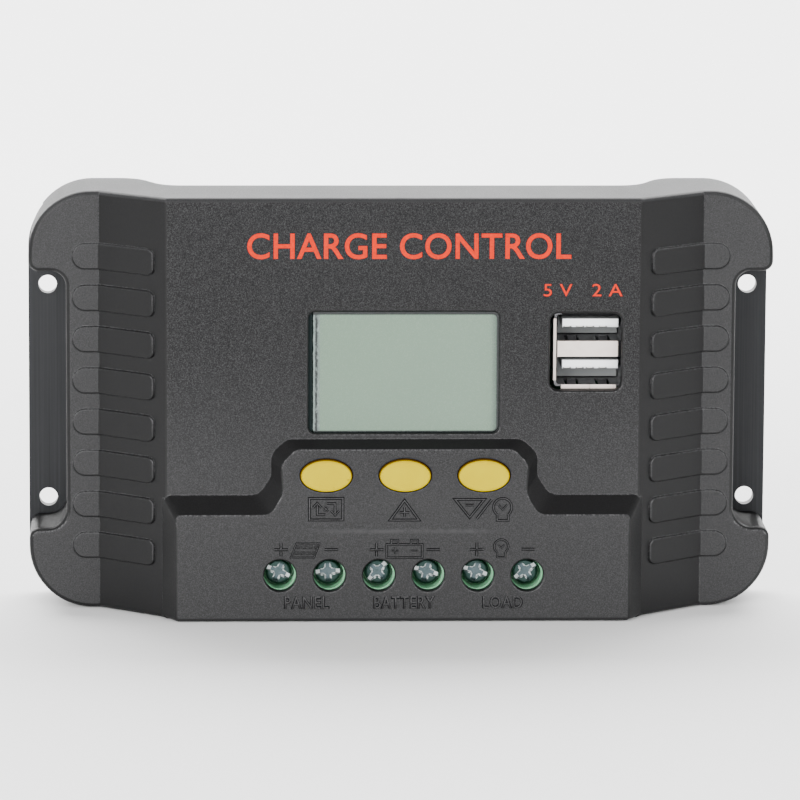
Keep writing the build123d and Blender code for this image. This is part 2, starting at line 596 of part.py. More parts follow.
def usb_insulator():
    body = port_plug(PORTS[0], 0.3, 0.2, 16.65, 18.6)
    body += port_plug(PORTS[1], 0.3, 0.2, 16.65, 18.6)
    body += port_plug((PORTS_Z0, PORTS_Z1), 0.1, 0.1, PCB_SEAT, 16.38)
    for port in PORTS:
        body += port_plug(port, 0.4, 0.3, 16.3, 16.8)
    for z0, z1 in TONGUES:
        body += soften_at(block(30.6, 41.45, 18.5, 26.9, z0, z1), 26.9, (0.25, 0.15))
        for x in CONTACT_X:
            body -= block(x - 0.8, x + 0.8, 18.7, 27.5, z0 - 1, z0 + 0.32)
    return body


# ======================================================== display board and display
def display_pcb():
    pcb = block(-25.6, 26.2, DISP_REAR, DISP_FRONT, -16.8, 24.4)
    for places, radius in ((DISPLAY_SCREWS, 1.15), ([(x, HEADER_Z) for x in HEADER_X], 0.5),
                           ([(x, LCD_PIN_Z) for x in LCD_PIN_X], 0.4)):
        for x, z in places:
            pcb -= rod(x, z, radius, 15, 25)
    return pcb


def display_screw(x, z):
    screw = rod(x, z, 0.92, 18.4, 26.4) + rod(x, z, 1.9, 18.6, DISP_REAR)
    return cut_cross(screw, x, z, 18.4, (2.2, 1.2, 0.5)).solids()[0]


def display_header():
    """Plastic body of the pin header that joins the two boards."""
    half = HEADER_PITCH / 2
    body = block(HEADER_X[0] - half, HEADER_X[-1] + half, PCB_SEAT, PCB_FRONT + 4.3,
                 HEADER_Z - half, HEADER_Z + half)
    for x in HEADER_X:
        body -= post(x, HEADER_Z, 0.74, 0.74, 10, 25)
    return body


GLASS_X0, GLASS_X1, GLASS_Z0, GLASS_Z1 = -17.35, 18.6, -4.5, 20.5
GLASS_REAR, GLASS_FRONT = 25.75, 28.5


def lcd_frame():
    frame = block(-19.0, 20.2, DISP_SEAT, PLATEAU_DEPTH - 1.15, -5.7, 21.7)
    frame = soften(frame, frame.edges().filter_by(Axis.Y), (0.8,))
    frame -= block(GLASS_X0 - 0.1, GLASS_X1 + 0.1, 20, 40, GLASS_Z0 - 0.1, GLASS_Z1 + 0.1)
    return frame


def lcd_slab(d0, d1):
    return block(GLASS_X0, GLASS_X1, d0, d1, GLASS_Z0, GLASS_Z1)


# ======================================================== switches and buttons
PLUNGER_FRONT = 26.3
CAP_REAR, CAP_FRONT = 28.9, 33.75


def switch_body(x):
    body = post(x, BUTTON_Z, 6.0, 6.0, DISP_SEAT, DISP_FRONT + 3.5)
    return (body - rod(x, BUTTON_Z, 1.8, DISP_FRONT + 1.4, 30)).solids()[0]


def switch_plunger(x):
    plunger = rod(x, BUTTON_Z, 1.72, DISP_FRONT + 2.1, PLUNGER_FRONT)
    return soften_at(plunger, PLUNGER_FRONT, (0.3,))


def button_cap(x):
    """Hollow oval cap with a retaining flange and a central stem."""
    cap = soften_at(oval(x, 0, CAP_REAR, CAP_FRONT), CAP_FRONT, (0.7, 0.5, 0.3))
    cap += oval(x, 0.8, CAP_REAR, CAP_REAR + 0.9)
    cap -= oval(x, -1.4, 28.0, 32.0)
    cap += rod(x, BUTTON_Z, 1.4, PLUNGER_FRONT + 0.05, 32.6)
    return cap


# ======================================================== board components
def capacitor(x, z, radius):
    """Can with a sunken, cross-scored top."""
    top = PCB_FRONT + 11.4
    can = soften_at(rod(x, z, radius, PCB_FRONT + 0.3, top), top, (0.6,))
    can -= rod(x, z, radius - 1.0, top - 0.25, top + 1)
    can = cut_cross(can, x, z, top - 0.3, (2 * radius - 3, 0.4, 0.4))
    can += rod(x, z, radius - 0.3, PCB_SEAT, PCB_FRONT + 0.4)
    return can


def inductor():
    x, z = 42.5, 26.4
    body = post(x, z, 12.0, 7.6, PCB_SEAT, PCB_FRONT + 5.6)
    body = soften(body, body.edges().filter_by(Axis.Y), (2.0, 1.0))
    body -= rod(x, z, 2.6, PCB_FRONT + 5.0, 30)
    return body


def chip(x, z, width, height, thickness, leg_count):
    """IC with legs left and right and a dot at the upper left corner."""
    left, right, top = x - width / 2, x + width / 2, PCB_FRONT + thickness
    body = post(x, z, width, height, PCB_FRONT + 0.1, top)
    body -= rod(left + 0.9, z + height / 2 - 0.9, 0.35, top - 0.12, 30)
    for i in range(leg_count):
        leg_z = z + (i - (leg_count - 1) / 2) * (height - 1.2) / (leg_count - 1)
        for x0, x1 in ((left - 1.0, left + 0.1), (right - 0.1, right + 1.0)):
            body += block(x0, x1, PCB_SEAT, PCB_FRONT + 0.45, leg_z - 0.18, leg_z + 0.18)
    return body


def chip_resistors():
    """A column at the left of the board and a row at the right."""
    front = PCB_FRONT + 0.7
    column = [block(-47.0, -45.0, PCB_SEAT, front, -2 + 3.2 * i, -0.8 + 3.2 * i)
              for i in range(6)]
    row = [block(31.0 + 3.0 * i, 32.2 + 3.0 * i, PCB_SEAT, front, -13.4, -11.4)
           for i in range(6)]
    return column + row


# ======================================================== build and export
os.makedirs("parts", exist_ok=True)

save_solid(front_shell(), "front_shell")
save_solid(heat_sink(), "heat_sink_base")
save_group([case_screw(x, z) for x, z in CASE_SCREWS], "case_screws")

save_solid(main_pcb(), "main_pcb")
save_group([pcb_spacer(x, z) for x, z in PCB_SCREWS], "pcb_spacers")
save_group([pcb_screw(x, z) for x, z in PCB_SCREWS], "pcb_screws")
save_group([mosfet(x) for x in MOSFET_X], "power_mosfets")
save(post(0, MOSFET_Z, 62, 13, WEB_FRONT, MOSFET_REAR), "thermal_pad")

save_solid(terminal_housing(), "terminal_housing")
save_group([terminal_pin(x) for x in TERM_X], "terminal_pins")
for number, (x, turn) in enumerate(zip(TERM_X, SLOT_DEG), start=1):
    save_solid(terminal_screw(x, turn), f"terminal_screw_{number}")
    save_solid(clamp_cage(x), f"clamp_cage_{number}")

save_solid(usb_shell(), "usb_shell")
save_solid(usb_insulator(), "usb_insulator")
save_group([block(x - 0.5, x + 0.5, 18.75, 26.0, z0 + 0.02, z0 + 0.27)
            for z0, _ in TONGUES for x in CONTACT_X], "usb_contacts")
save_group([post(x, z, 0.6, 0.6, PCB_REAR - 1.0, PCB_FRONT - 0.05) for x, z in USB_LEGS],
           "usb_solder_legs")

save_solid(display_pcb(), "display_pcb")
save_group([display_screw(x, z) for x, z in DISPLAY_SCREWS], "display_screws")
save_solid(display_header(), "display_header")
save_group([post(x, HEADER_Z, 0.64, 0.64, PCB_REAR - 0.9, DISP_FRONT + 0.9)
            for x in HEADER_X], "display_header_pins")
save_solid(lcd_frame(), "lcd_frame")
save(lcd_slab(DISP_FRONT + 0.1, GLASS_REAR - 0.05), "lcd_backlight")
save(soften_at(lcd_slab(GLASS_REAR, GLASS_FRONT), GLASS_FRONT, (0.2,)), "lcd_glass")
save_group([post(x, LCD_PIN_Z, 0.5, 0.5, DISP_REAR - 0.8, 25.0) for x in LCD_PIN_X],
           "lcd_pins")

for name, x in BUTTONS.items():
    save_solid(switch_plunger(x), f"switch_plunger_{name}")
    save_solid(button_cap(x), f"button_cap_{name}")
save_group([switch_body(x) for x in BUTTONS.values()], "switch_bodies")

save_solid(capacitor(-35.0, 22.0, 5.0), "capacitor_large")
save_solid(capacitor(-35.0, 8.5, 4.0), "capacitor_small")
save_solid(inductor(), "inductor")
save_solid(chip(-38.0, -8.0, 7.0, 7.0, 1.6, leg_count=8), "mcu_ic")
save_solid(chip(40.0, -6.0, 5.0, 6.5, 2.2, leg_count=4), "regulator_ic")
save_group([post(x, -19.3, 4.6, 3.2, PCB_SEAT, PCB_FRONT + 2.3) for x in (-8.0, 2.0, 12.0)],
           "schottky_diodes")
save_group(chip_resistors(), "chip_resistors")
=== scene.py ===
"""A charge controller: black moulded housing with a display, three yellow buttons,
a USB socket and six green screw terminals.

The front faces -Y, +X is right and +Z is up. Scene units are metres. Sizes of marks and
lettering are in millimetres and are scaled by MM; lengths inside materials are in metres.
"""
import bpy
import bmesh
import math
from mathutils import Matrix, Vector

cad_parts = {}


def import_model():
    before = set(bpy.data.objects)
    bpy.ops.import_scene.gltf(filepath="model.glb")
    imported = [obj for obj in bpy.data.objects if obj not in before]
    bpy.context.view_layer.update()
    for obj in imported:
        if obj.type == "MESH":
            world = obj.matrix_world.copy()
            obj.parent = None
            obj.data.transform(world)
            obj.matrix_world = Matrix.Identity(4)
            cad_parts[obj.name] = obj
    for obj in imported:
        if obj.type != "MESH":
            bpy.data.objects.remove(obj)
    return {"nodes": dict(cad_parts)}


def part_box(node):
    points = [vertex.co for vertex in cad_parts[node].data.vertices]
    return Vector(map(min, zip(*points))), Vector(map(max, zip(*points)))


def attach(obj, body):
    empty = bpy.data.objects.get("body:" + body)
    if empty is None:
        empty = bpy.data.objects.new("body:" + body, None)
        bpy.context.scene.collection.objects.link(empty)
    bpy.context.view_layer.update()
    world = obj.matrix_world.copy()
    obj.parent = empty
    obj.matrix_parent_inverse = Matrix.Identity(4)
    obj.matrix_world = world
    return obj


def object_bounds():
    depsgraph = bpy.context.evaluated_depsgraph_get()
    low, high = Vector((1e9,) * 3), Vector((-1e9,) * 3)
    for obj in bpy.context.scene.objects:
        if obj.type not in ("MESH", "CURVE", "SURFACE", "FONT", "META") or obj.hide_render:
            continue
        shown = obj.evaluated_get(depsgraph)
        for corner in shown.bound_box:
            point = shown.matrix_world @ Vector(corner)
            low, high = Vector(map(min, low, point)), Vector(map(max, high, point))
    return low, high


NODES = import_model()["nodes"]
CAD_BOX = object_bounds()
MM = 0.001

# Camera: angles in radians, azimuth counted from -Y towards +X
CAMERA_ELEVATION = 0.1693353884
CAMERA_AZIMUTH = -0.0396552483
CAMERA_ROLL = 0.0052929229
CAMERA_DISTANCE = 1.14343
CAMERA_TARGET = Vector((-0.000105, -0.017, 0.00049))
LENS, SENSOR_WIDTH = 265.41405, 36.0    # mm
CAMERA_BACK = Vector((math.sin(CAMERA_AZIMUTH) * math.cos(CAMERA_ELEVATION),
                      -math.cos(CAMERA_AZIMUTH) * math.cos(CAMERA_ELEVATION),
                      math.sin(CAMERA_ELEVATION)))
CAMERA_PLACE = CAMERA_TARGET + CAMERA_BACK * CAMERA_DISTANCE


def link_object(name, data):
    ob = bpy.data.objects.new(name, data)
    bpy.context.scene.collection.objects.link(ob)
    return ob


def mesh_from(bm, name):
    """Turns a bmesh into a mesh and frees it."""
    mesh = bpy.data.meshes.new(name)
    bm.to_mesh(mesh)
    bm.free()
    return mesh


# ---------------------------------------------------------------- material builder

SHADER_INPUTS = {
    "color": "Base Color", "rough": "Roughness", "metal": "Metallic",
    "spec": "Specular IOR Level", "coat": "Coat Weight", "coat_rough": "Coat Roughness",
    "sss": "Subsurface Weight", "sss_radius": "Subsurface Radius",
    "sss_scale": "Subsurface Scale", "emit_color": "Emission Color",
}


class Value:
    """A node output; arithmetic on it adds the matching math nodes."""

    def __init__(self, mat, socket):
        self.mat = mat
        self.socket = socket

    def __add__(self, other):
        return self.mat.math("ADD", self, other)

    def __sub__(self, other):
        return self.mat.math("SUBTRACT", self, other)

    def __rsub__(self, other):
        return self.mat.math("SUBTRACT", other, self)

    def __mul__(self, other):
        return self.mat.math("MULTIPLY", self, other)

    def __truediv__(self, other):
        return self.mat.math("DIVIDE", self, other)

    def __abs__(self):
        return self.mat.math("ABSOLUTE", self)

    def sqrt(self):
        return self.mat.math("SQRT", self)

    def max(self, other):
        return self.mat.math("MAXIMUM", self, other)

    def min(self, other):
        return self.mat.math("MINIMUM", self, other)

    def remap(self, span, to=(0.0, 1.0), smooth=False):
        """Maps the range span onto the range to, clamped at both ends."""
        node = self.mat.node("ShaderNodeMapRange")
        if smooth:
            node.interpolation_type = "SMOOTHSTEP"
        for socket, value in zip(node.inputs, (self, *span, *to)):
            self.mat.feed(socket, value)
        return Value(self.mat, node.outputs["Result"])

    def ramp(self, stops):
        """Colour ramp from (position, grey level or colour) stops."""
        node = self.mat.node("ShaderNodeValToRGB")
        elements = node.color_ramp.elements
        while len(elements) < len(stops):
            elements.new(0.5)
        for element, (position, color) in zip(elements, stops):
            element.position = position
            rgb = color if isinstance(color, tuple) else (color,) * 3
            element.color = (*rgb, 1.0)
        self.mat.feed(node.inputs["Fac"], self)
        return Value(self.mat, node.outputs["Color"])

    def split(self):
        node = self.mat.node("ShaderNodeSeparateXYZ")
        self.mat.feed(node.inputs[0], self)
        return [Value(self.mat, node.outputs[axis]) for axis in "XYZ"]


class Mat:
    """A small builder for procedural materials."""

    def __init__(self, name):
        self.material = bpy.data.materials.new(name)
        self.material.use_nodes = True
        self.tree = self.material.node_tree
        self.shader = self.tree.nodes["Principled BSDF"]
        coords = self.node("ShaderNodeTexCoord")
        self.position = Value(self, coords.outputs["Object"])

    def node(self, kind, **settings):
        node = self.tree.nodes.new(kind)
        for key, value in settings.items():
            setattr(node, key, value)
        return node

    def feed(self, socket, value):
        """Links a Value to the socket, or sets the socket to a constant."""
        if isinstance(value, Value):
            self.tree.links.new(value.socket, socket)
        elif socket.type == "RGBA":
            socket.default_value = (*value, 1.0)
        else:
            socket.default_value = value

    def set(self, **values):
        for key, value in values.items():
            self.feed(self.shader.inputs[SHADER_INPUTS[key]], value)

    def stretched(self, scale, rotation=(0, 0, 0)):
        """Object position, scaled and turned."""
        node = self.node("ShaderNodeMapping")
        self.feed(node.inputs["Scale"], scale)
        self.feed(node.inputs["Rotation"], rotation)
        self.feed(node.inputs["Vector"], self.position)
        return Value(self, node.outputs["Vector"])

    def noise(self, scale=1.0, detail=2.0, rough=0.5, at=None):
        node = self.node("ShaderNodeTexNoise")
        self.feed(node.inputs["Scale"], scale)
        self.feed(node.inputs["Detail"], detail)
        self.feed(node.inputs["Roughness"], rough)
        self.feed(node.inputs["Vector"], at or self.position)
        return Value(self, node.outputs["Fac"])

    def math(self, operation, first, second=0.0):
        node = self.node("ShaderNodeMath", operation=operation)
        self.feed(node.inputs[0], first)
        self.feed(node.inputs[1], second)
        return Value(self, node.outputs["Value"])

    def mix(self, factor, first, second):
        """Blend of two colours."""
        node = self.node("ShaderNodeMix", data_type="RGBA")
        for index, value in ((0, factor), (6, first), (7, second)):
            self.feed(node.inputs[index], value)
        return Value(self, node.outputs[2])

    def blend(self, factor, first, second):
        """Blend of two numbers."""
        node = self.node("ShaderNodeMix", data_type="FLOAT")
        for index, value in ((0, factor), (2, first), (3, second)):
            self.feed(node.inputs[index], value)
        return Value(self, node.outputs[0])

    def normal(self):
        node = self.node("ShaderNodeNewGeometry")
        return Value(self, node.outputs["Normal"])

    def bump(self, height, strength, distance):
        node = self.node("ShaderNodeBump")
        self.feed(node.inputs["Strength"], strength)
        self.feed(node.inputs["Distance"], distance)
        self.feed(node.inputs["Height"], height)
        self.tree.links.new(node.outputs["Normal"], self.shader.inputs["Normal"])


def scaled(color, factor):
    return tuple(channel * factor for channel in color)


# ---------------------------------------------------------------- materials

def bevel_edges(mat, normal, radius):
    """Edge mask, and the Z of the normal rounded over the edges."""
    bevel = mat.node("ShaderNodeBevel", samples=4)
    mat.feed(bevel.inputs["Radius"], radius)
    rounded = Value(mat, bevel.outputs[0])
    dot = mat.node("ShaderNodeVectorMath", operation="DOT_PRODUCT")
    mat.feed(dot.inputs[0], rounded)
    mat.feed(dot.inputs[1], normal)
    edge = Value(mat, dot.outputs["Value"]).remap(span=(0.990, 0.955))
    return edge, rounded.split()[2]


def make_shell():
    """Black moulded plastic: grained where it faces forward, smoother on ramps and walls."""
    mat = Mat("moulded_black_shell")
    base = (0.0070, 0.0070, 0.0072)
    normal = mat.normal()
    _, ny, nz = normal.split()
    forward = (ny * -1.0).remap(span=(0.955, 0.992), smooth=True)

    # grain: pale specks and dark pits, strongest on forward faces
    fine = mat.noise(scale=5200.0, rough=0.6)
    medium = mat.noise(scale=2600.0)
    broad = mat.noise(scale=42.0, detail=3.0, rough=0.55)
    speck_noise = mat.noise(scale=6800.0, detail=1.0)
    speck = (speck_noise * 0.7 + mat.noise(scale=3600.0, detail=1.0) * 0.3).ramp(
        [(0.0, 0.0), (0.44, 0.0), (0.62, 1.0)])
    pits = mat.noise(scale=5600.0, detail=1.0, rough=0.4).ramp(
        [(0.0, 1.0), (0.30, 1.0), (0.50, 0.0), (1.0, 0.0)])
    grain = forward * 0.88 + 0.12
    color = mat.mix(speck * grain, base, scaled(base, 4.8))
    color = mat.mix(pits * grain * 0.9, color, scaled(base, 0.30))
    color = mat.mix(broad.remap(span=(0.3, 0.72), to=(0.0, 0.12)), color, scaled(base, 1.4))

    # edges: painted highlight where they look up, painted shade where they look down
    edge, edge_up = bevel_edges(mat, normal, radius=0.0004)
    painted_highlight = edge * edge_up.remap(span=(-0.10, 0.06)) * mat.noise(scale=2300.0, rough=0.6).remap(
        span=(0.40, 0.62), to=(0.12, 1.0))
    under = edge * edge_up.remap(span=(-0.10, -0.22), to=(0.0, 0.75))

    # painted sheen on the turn from the front into the top wall
    x, _, z = mat.position.split()
    turn_sheen = nz.remap(span=(0.04, 0.45), smooth=True) * z.remap(span=(0.024, 0.030))
    color = mat.mix(turn_sheen * speck_noise.remap(span=(0.3, 0.6), to=(0.35, 0.8)),
                    color, scaled(base, 4.5))

    # painted highlight along a faint crease across the terrace at z = -22.2 mm, fading out
    # sideways from x = 1 mm
    crease_highlight = (abs(z + 0.0222).remap(span=(0.0, 0.0007), to=(1.0, 0.0), smooth=True)
              * abs(x - 0.001).remap(span=(0.010, 0.020), to=(1.0, 0.0), smooth=True))
    crease_highlight = crease_highlight * forward * mat.noise(scale=700.0, rough=0.6).remap(
        span=(0.35, 0.65), to=(0.3, 1.0))
    color = mat.mix(crease_highlight * 0.85, color, scaled(base, 6.0))

    # painted light: paler towards the bottom and at the outer left and right margins
    painted_light = z.remap(span=(0.020, -0.034), smooth=True) * x.remap(span=(-0.052, -0.046))
    painted_light = painted_light.max(abs(x).remap(span=(0.0582, 0.0586), to=(0.0, 0.75)) * forward)
    painted_light = painted_light * (forward * 0.9 + ny.remap(span=(-0.85, -0.75), to=(0.5, 0.0)))
    color = mat.mix(painted_light, color, mat.mix(0.34, color, scaled(base, 6.5)))

    # painted highlight on the upward slopes of the lower half, as on the edges
    shoulder_highlight = (ny.remap(span=(-0.988, -0.955)) * ny.remap(span=(-0.79, -0.87))
                * (nz.remap(span=(0.06, 0.2)) * z.remap(span=(0.010, 0.004))))
    painted_highlight = painted_highlight.max(shoulder_highlight * mat.noise(scale=2600.0, rough=0.6).remap(
        span=(0.42, 0.62), to=(0.10, 1.0)))
    color = mat.mix(painted_highlight * 0.85, color, scaled(base, 11.0))
    color = mat.mix(under, color, scaled(base, 0.25))

    rough = mat.blend(forward, 0.42, 0.55)
    rough = rough + broad.remap(span=(0.2, 0.8), to=(-0.03, 0.04)) + speck * -0.08
    mat.set(color=color, rough=rough,
            spec=mat.blend(ny.remap(span=(-0.5, -0.25)), 0.11, 0.035))
    mat.bump(fine * 0.7 + medium * 0.6, strength=grain * 0.6, distance=0.00005)
    return mat.material


def make_screw(name, center_x, center_z, slot_angle):
    """Plated cross-slot screw head: dark teal flats that paint the reflection of the green
    housing, painted highlights at the slot ends and cross rims, painted shade in the recess and
    round the rim.
    """
    mat = Mat(name)
    x, y, z = mat.position.split()
    angle = math.radians(slot_angle)
    dx = x - center_x
    dz = z - center_z
    # position along and across the slot, and distance from the screw's axis
    along = dx * math.cos(angle) + dz * math.sin(angle)
    across = dz * math.cos(angle) - dx * math.sin(angle)
    abs_along, abs_across = abs(along), abs(across)
    radius = (along * along + across * across).sqrt()
    coarse = mat.noise(scale=1500.0, detail=3.0, rough=0.6)
    fine = mat.noise(scale=5000.0, rough=0.6)
    # painted highlight at both ends of the slot
    slot_end_highlight = abs_across.remap(span=(0.00044, 0.00040)) * (
        radius.remap(span=(0.00150, 0.00160)) * radius.remap(span=(0.00236, 0.00228)))
    # painted highlights on the lips between the arms of the cross
    lip_offset = abs(abs_along.min(abs_across) - 0.00052)
    lip = lip_offset.remap(span=(0.00020, 0.00009)) * (
        radius.remap(span=(0.00076, 0.00092)) * radius.remap(span=(0.00160, 0.00138)))
    lip = lip * coarse.remap(span=(0.36, 0.5), to=(0.35, 1.0))
    bright = slot_end_highlight.max(lip)
    recessed = y.remap(span=(-0.0292, -0.0286))
    arms = (abs_along.min(abs_across).remap(span=(0.00056, 0.00042))
            * radius.remap(span=(0.00165, 0.00135)))
    # teal face and arms paint the reflection of the green housing; the darker recess and outer
    # rim are painted shade; the pale metal colour is the painted highlight
    face, recess_shade, arm = (0.040, 0.070, 0.064), (0.030, 0.050, 0.050), (0.125, 0.165, 0.180)
    stain, rim_shadow, metal = (0.03, 0.06, 0.052), (0.020, 0.060, 0.045), (0.62, 0.66, 0.66)
    color = mat.mix(recessed, face, mat.mix(arms, recess_shade, arm))
    color = mat.mix(coarse.remap(span=(0.35, 0.7), to=(0.0, 0.45)), color, stain)
    color = mat.mix(radius.remap(span=(0.00195, 0.00245)), color, rim_shadow)
    color = mat.mix(bright, color, metal)
    mat.set(color=color, metal=mat.blend(bright, 0.95, 0.55),
            rough=mat.blend(bright, fine.remap(span=(0.2, 0.8), to=(0.26, 0.42)), 0.32))
    mat.bump(coarse * 0.8 + fine * 0.4, strength=0.35, distance=0.00005)
    return mat.material


def make_terminal_nylon():
    """Mint green nylon, slightly translucent."""
    mat = Mat("green_terminal_nylon")
    fine = mat.noise(scale=1100.0, detail=3.0, rough=0.6)
    broad = mat.noise(scale=120.0, detail=3.0)
    deep, light, pale = (0.15, 0.40, 0.22), (0.20, 0.46, 0.26), (0.30, 0.55, 0.36)
    color = mat.mix(broad.remap(span=(0.3, 0.7)), deep, light)
    color = mat.mix(fine.remap(span=(0.5, 0.8), to=(0.0, 0.3)), color, pale)
    mat.set(color=color, rough=fine.remap(span=(0.2, 0.8), to=(0.32, 0.45)), spec=0.5,
            sss=0.35, sss_radius=(0.5, 1.0, 0.6), sss_scale=0.0012)
    mat.bump(fine, strength=0.15, distance=0.00004)
    return mat.material


def make_anodised():
    """Black anodised extrusion with drawn lines along Z."""
    mat = Mat("anodised_extrusion")
    lines = mat.noise(detail=4.0, rough=0.65, at=mat.stretched((2600, 2600, 16)))
    wide_lines = mat.noise(at=mat.stretched((700, 700, 5)))
    broad = mat.noise(scale=38.0, detail=3.0)
    dark, light, haze = (0.010, 0.0105, 0.0115), (0.022, 0.023, 0.025), (0.026, 0.0265, 0.028)
    color = mat.mix(lines.remap(span=(0.3, 0.75)), dark, light)
    color = mat.mix(broad.remap(span=(0.35, 0.7), to=(0.0, 0.25)), color, haze)
    rough = (lines.remap(span=(0.2, 0.8), to=(0.34, 0.5))
             + broad.remap(span=(0.3, 0.7), to=(-0.03, 0.05)))
    mat.set(color=color, metal=0.15, rough=rough, spec=0.16)
    mat.bump(lines + wide_lines * 0.5, strength=0.35, distance=0.00004)
    return mat.material


def make_metal(name, color, rough=0.3):
    """Plated metal with fine scratches and faint staining."""
    mat = Mat(name)
    texture = mat.noise(detail=4.0, rough=0.6, at=mat.stretched((900, 900, 900)))
    scratches = mat.noise(detail=3.0, rough=0.6,
                          at=mat.stretched((5200, 600, 600), rotation=(0.0, 0.0, 0.35)))
    stain = mat.noise(scale=420.0, detail=4.0, rough=0.65)
    stained = mat.mix(stain.remap(span=(0.45, 0.75), to=(0.0, 0.2)), color, scaled(color, 0.55))
    mat.set(color=stained, metal=1.0,
            rough=texture.remap(span=(0.25, 0.8), to=(rough - 0.07, rough + 0.12))
            + stain.remap(span=(0.5, 0.8), to=(0.0, 0.12)))
    mat.bump(texture * 0.6 + scratches * 0.5, strength=0.22, distance=0.00003)
    return mat.material


def make_plastic(name, color, rough, grain=1200.0, bump=0.15, variation=0.12, spec=0.5):
    """Moulded plastic with flow variation and a fine texture."""
    mat = Mat(name)
    fine = mat.noise(scale=grain, detail=3.0, rough=0.6)
    flow = mat.noise(scale=90.0, detail=4.0, rough=0.6)
    dark = scaled(color, 1 - variation * 1.6)
    light = scaled(color, 1 + variation)
    mixed = mat.mix(flow.remap(span=(0.3, 0.7)), dark, light)
    mixed = mat.mix(fine.remap(span=(0.5, 0.8), to=(0.0, 0.25)), mixed, light)
    mat.set(color=mixed, coat_rough=0.15, spec=spec,
            rough=fine.remap(span=(0.2, 0.8), to=(rough - 0.05, rough + 0.06))
            + flow.remap(span=(0.3, 0.7), to=(-0.02, 0.03)))
    mat.bump(fine, strength=bump, distance=0.00004)
    return mat.material


def make_yellow(name, center_x):
    """Yellow button cap: bright crown, with painted shade turning it amber towards its elliptical
    rim and deeper orange on its upper side.
    """
    mat = Mat(name)
    center_z, half_width, half_height = -11.5 * MM, 4.97 * MM, 3.12 * MM
    x, _, z = mat.position.split()
    across = (x - center_x) / half_width
    upward = (z - center_z) / half_height
    radius = (across * across + upward * upward).sqrt()
    fine = mat.noise(scale=700.0, detail=3.0, rough=0.6)
    broad = mat.noise(scale=160.0, detail=3.0)
    yellow, light_yellow = (0.42, 0.32, 0.0), (0.45, 0.35, 0.0)
    upper, speck_brown, amber = (0.40, 0.27, 0.0), (0.22, 0.14, 0.0), (0.12, 0.055, 0.0)
    crown = mat.mix(broad.remap(span=(0.3, 0.7)), yellow, light_yellow)
    # painted shade: the upper side turns deeper orange
    crown = mat.mix(upward.remap(span=(0.45, 0.95), to=(0.0, 0.5)), crown, upper)
    speck = mat.noise(scale=900.0, detail=1.0, rough=0.3).ramp(
        [(0.0, 0.0), (0.76, 0.0), (0.82, 1.0)])
    crown = mat.mix(speck * 0.6, crown, speck_brown)
    # painted shade darkens the rim to amber
    mat.set(color=mat.mix(radius.remap(span=(0.93, 1.0), smooth=True), crown, amber),
            rough=fine.remap(span=(0.2, 0.8), to=(0.30, 0.42)), spec=0.0,
            emit_color=(1.0, 0.62, 0.0))
    mat.bump(fine * 0.5 + broad, strength=0.08, distance=0.00006)
    return mat.material


def make_usb_shell():
    """Tinned sheet: bright front lips, with painted shadow at the top, the right and a narrow
    upright gap.
    """
    mat = Mat("usb_shell_sheet")
    x, y, z = mat.position.split()
    texture = mat.noise(detail=4.0, rough=0.6, at=mat.stretched((900, 700, 3000)))
    stain = mat.noise(scale=700.0, detail=4.0, rough=0.65)
    front = y.remap(span=(-0.02705, -0.02712))
    # the top and right lips and a narrow upright gap take painted shadow
    top = z.remap(span=(0.01850, 0.01860))
    right = x.remap(span=(0.04125, 0.04135))
    gap = x.remap(span=(0.02938, 0.02946)) * x.remap(span=(0.02972, 0.02966))
    dark = top.max(right).max(gap)
    body, body_stain = (0.13, 0.13, 0.135), (0.06, 0.06, 0.062)
    lip, lip_stain, shadow = (0.66, 0.585, 0.535), (0.50, 0.43, 0.39), (0.006, 0.006, 0.0065)
    body_color = mat.mix(stain.remap(span=(0.45, 0.75), to=(0.0, 0.35)), body, body_stain)
    lip_color = mat.mix(stain.remap(span=(0.42, 0.75), to=(0.0, 0.35)), lip, lip_stain)
    color = mat.mix(front, body_color, mat.mix(dark, lip_color, shadow))
    shade = front * dark
    mat.set(color=color, metal=mat.blend(front, 0.75, 0.2) * (1.0 - shade),
            rough=texture.remap(span=(0.25, 0.8), to=(0.26, 0.44))
            + stain.remap(span=(0.5, 0.8), to=(0.0, 0.1)),
            spec=mat.blend(shade, 0.3, 0.03))
    mat.bump(texture, strength=0.25, distance=0.00003)
    return mat.material


def make_insulator():
    """White socket nylon: clean on the tongue ends, shaded below them and deep inside."""
    mat = Mat("white_socket_nylon")
    _, ny, nz = mat.normal().split()
    _, y, z = mat.position.split()
    fine = mat.noise(scale=1100.0, detail=3.0, rough=0.6)
    tongue_end = ny.remap(span=(-0.6, -0.8)) * y.remap(span=(-0.0225, -0.0250))
    # inner faces and undersides: painted shade
    inside, underside_shade = (0.30, 0.31, 0.31), (0.075, 0.078, 0.080)
    clean, lower_edge_shade = (0.80, 0.82, 0.83), (0.60, 0.62, 0.64)
    deep = mat.mix(nz.remap(span=(-0.3, -0.7)), inside, underside_shade)
    # distance from the lower edges of the two tongues; the white greys towards them as painted
    # shade
    edge_distance = abs(z - 0.00825).min(abs(z - 0.01627))
    white = mat.mix(edge_distance.remap(span=(0.0, 0.0007), to=(1.0, 0.0)), clean, lower_edge_shade)
    mat.set(color=mat.mix(tongue_end, deep, white),
            rough=fine.remap(span=(0.2, 0.8), to=(0.40, 0.50)),
            spec=mat.blend(tongue_end, 0.1, 0.5))
    mat.bump(fine, strength=0.12, distance=0.00004)
    return mat.material


def behind(x, y, z, plane_y):
    """X and Z, in metres, where the camera's ray through (x, y, z) mm meets plane_y metres."""
    point = Vector((x, y, z)) * MM
    reach = (plane_y - CAMERA_PLACE.y) / (point.y - CAMERA_PLACE.y)
    hit = CAMERA_PLACE + (point - CAMERA_PLACE) * reach
    return hit.x, hit.z


